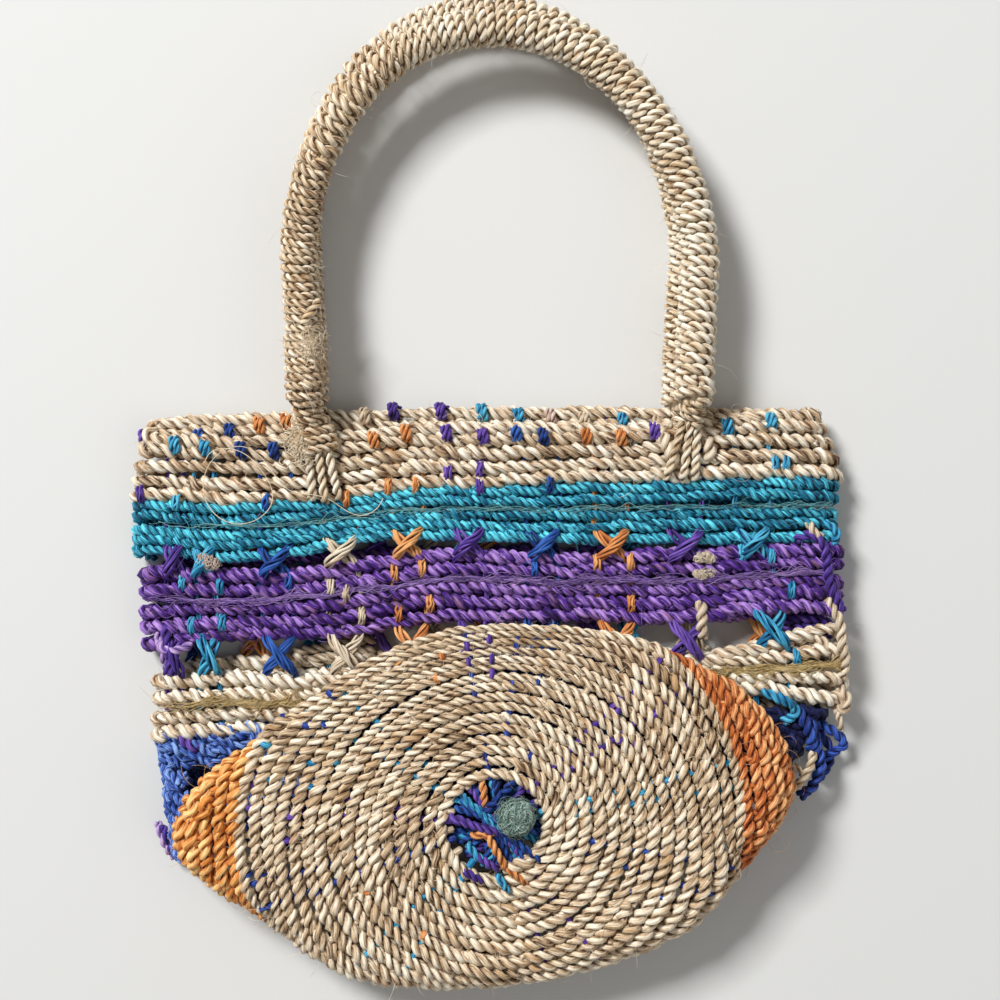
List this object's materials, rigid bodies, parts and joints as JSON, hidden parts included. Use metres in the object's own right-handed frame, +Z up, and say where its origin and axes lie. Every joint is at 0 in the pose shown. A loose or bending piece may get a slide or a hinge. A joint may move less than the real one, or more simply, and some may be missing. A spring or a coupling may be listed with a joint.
{
  "type": "raffia tote bag",
  "caption": "Twined plant-fibre tote bag in colour bands, lying flat with its oval base folded up and two wrapped handles.",
  "frame": {"origin": "on the ground, under the middle of the bag's outline as it lies on its back wall", "axes": "+Y towards the mouth and the handles' bows, +Z up, away from the back wall, +X to the right seen from above"},
  "size_m": [0.2974, 0.4086, 0.0503],
  "materials": {
    "tan_weft": "matt twisted plant fibre, natural",
    "turquoise_weft": "matt twisted plant fibre, dyed turquoise",
    "purple_weft": "matt twisted plant fibre, dyed purple",
    "blue_weft": "matt twisted plant fibre, dyed blue",
    "rim_cord": "matt twisted plant fibre, natural",
    "dyed_warp": "matt twisted plant fibre, dyed in mixed colours",
    "base_weft": "matt twisted plant fibre, natural",
    "rust_orange_weft": "matt twisted plant fibre, dyed rust orange",
    "bright_orange_weft": "matt twisted plant fibre, dyed orange",
    "sage_tuft": "fuzzy tuft of teased fibre, grey green",
    "handle_cord": "twisted plant fibre with a slight sheen, natural"
  },
  "bodies": {
    "bag_body": {"back_top_tan_band": "tan_weft", "right_fold_top_tan": "tan_weft", "left_fold_top_tan": "tan_weft", "back_lower_tan_band": "tan_weft", "right_fold_lower_tan": "tan_weft", "front_lower_tan_band": "tan_weft", "left_fold_lower_tan": "tan_weft", "back_turquoise_band": "turquoise_weft", "right_fold_turquoise": "turquoise_weft", "left_fold_turquoise": "turquoise_weft", "back_purple_band": "purple_weft", "right_fold_purple": "purple_weft", "left_fold_purple": "purple_weft", "back_blue_band": "blue_weft", "right_fold_blue": "blue_weft", "left_fold_blue": "blue_weft", "front_blue_fold": "blue_weft", "front_blue_tuck": "blue_weft", "back_rim": "rim_cord", "left_rim": "rim_cord", "right_rim": "rim_cord", "back_upper_crossings": "dyed_warp", "front_lower_crossings": "dyed_warp", "back_lower_crossings": "dyed_warp", "back_left_fan": "handle_cord", "back_right_fan": "handle_cord"},
    "front_wall": {"front_top_tan_band": "tan_weft", "front_turquoise_band": "turquoise_weft", "front_purple_band": "purple_weft", "front_rim": "rim_cord", "front_upper_crossings": "dyed_warp", "front_left_fan": "handle_cord", "front_right_fan": "handle_cord"},
    "front_handle": {"front_handle_core": "handle_cord", "front_handle_left_wrap": "handle_cord", "front_handle_right_wrap": "handle_cord", "front_handle_bow_wrap": "handle_cord", "front_handle_left_binding": "handle_cord", "front_handle_right_binding": "handle_cord"},
    "back_handle": {"back_handle_core": "handle_cord", "back_handle_left_wrap": "handle_cord", "back_handle_right_wrap": "handle_cord", "back_handle_bow_wrap": "handle_cord", "back_handle_left_binding": "handle_cord", "back_handle_right_binding": "handle_cord"},
    "base": {"base_disc": "base_weft", "base_orange_rows_right": "rust_orange_weft", "base_orange_rows_left": "bright_orange_weft", "base_centre_strands": "dyed_warp", "base_tuft": "sage_tuft"}
  },
  "joints": [
    {"name": "mouth_opening", "type": "hinge", "parent": "bag_body", "child": "front_wall", "pos_m": [0, -0.0575, 0.0185], "axis": [1, 0, 0], "range_deg": [0, 12]},
    {"name": "front_handle_swing", "type": "hinge", "parent": "front_wall", "child": "front_handle", "pos_m": [0, 0.033, 0.0265], "axis": [1, 0, 0], "range_deg": [0, 135]},
    {"name": "back_handle_swing", "type": "hinge", "parent": "bag_body", "child": "back_handle", "pos_m": [0, 0.0317, 0], "axis": [1, 0, 0], "range_deg": [-170, 0]},
    {"name": "base_fold", "type": "hinge", "parent": "bag_body", "child": "base", "pos_m": [0, -0.1867, 0.018], "axis": [1, 0, 0], "range_deg": [0, 20]}
  ]
}
